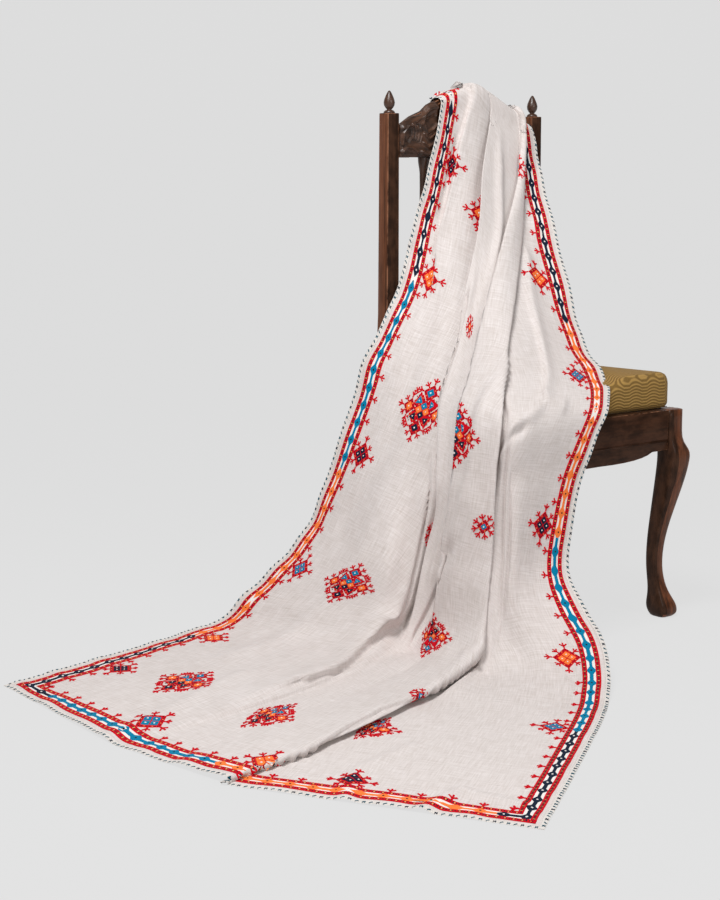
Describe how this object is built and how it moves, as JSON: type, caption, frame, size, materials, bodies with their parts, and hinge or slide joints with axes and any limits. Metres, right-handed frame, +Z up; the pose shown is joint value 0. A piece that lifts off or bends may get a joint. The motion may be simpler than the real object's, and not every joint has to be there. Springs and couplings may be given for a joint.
{
  "type": "embroidered shawl draped over a side chair",
  "caption": "Wool shawl with embroidered borders and scattered motifs and a crocheted edging, draped over the carved back of a side chair and trailing across the floor.",
  "frame": {"origin": "centre of the bounding box's floor rectangle, on the floor", "axes": "+Z up; the chair faces -Y, the sitter's left is +X, and the shawl trails towards -X and -Y"},
  "size_m": [1.3412, 1.196, 1.0805],
  "materials": {
    "cloth": "plain-weave wool with embroidery",
    "edging": "crocheted cotton",
    "wood": "dark stain, rubbed and waxed",
    "cushion": "woven damask"
  },
  "bodies": {
    "root": {"shawl_back_drop": "cloth", "shawl_crest_fall": "cloth", "shawl_seat_fall": "cloth", "shawl_leg_fall": "cloth", "shawl_train": "cloth", "edging_left": "edging", "edging_right": "edging", "edging_back_hem": "edging", "edging_front_hem": "edging", "back_post_left": "wood", "back_post_right": "wood", "finial_left": "wood", "finial_right": "wood", "crest_rail": "wood", "lower_back_rail": "wood", "spindle_1": "wood", "spindle_2": "wood", "spindle_3": "wood", "spindle_4": "wood", "seat_rail_front": "wood", "seat_rail_back": "wood", "seat_rail_left": "wood", "seat_rail_right": "wood", "front_leg_left": "wood", "front_leg_right": "wood", "seat_cushion": "cushion"}
  },
  "joints": []
}
